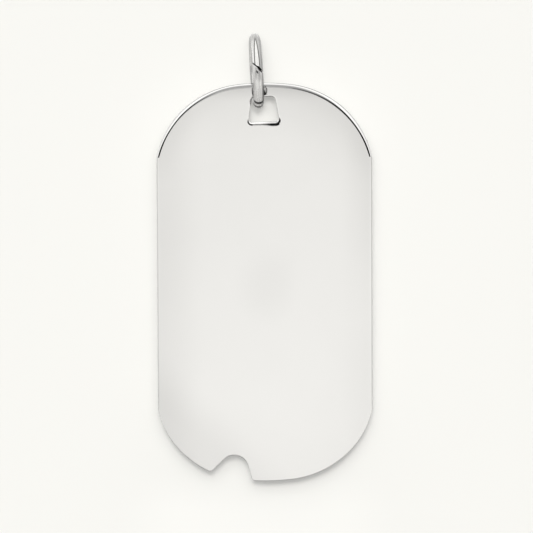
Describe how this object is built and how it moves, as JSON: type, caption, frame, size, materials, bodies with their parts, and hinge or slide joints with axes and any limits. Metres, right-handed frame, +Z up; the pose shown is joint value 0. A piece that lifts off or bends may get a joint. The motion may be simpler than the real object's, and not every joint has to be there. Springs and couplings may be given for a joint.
{
  "type": "identification dog tag pendant",
  "caption": "Flat blank metal identification tag with rounded ends, a small trapezoid hole and a curved edge notch, hanging on a cut round-wire jump ring.",
  "frame": {"origin": "the top of the jump ring's eye, on the inside of the wire, where a chain or hook bears", "axes": "+Z up along the hanging tag, +X to the viewer's right along the tag's width, -Y out of the tag's front face"},
  "size_m": [0.0204, 0.0072, 0.044],
  "materials": {
    "polished_plate": "mirror polished white metal",
    "ring_wire": "polished drawn wire"
  },
  "bodies": {
    "ring": {"jump_ring": "ring_wire"},
    "tag": {"tag_plate": "polished_plate"}
  },
  "joints": [
    {"name": "tag_swing", "type": "hinge", "parent": "ring", "child": "tag", "pos_m": [0.00022, 0, -0.00565], "axis": [0, 1, 0], "range_deg": [-75, 75]}
  ]
}
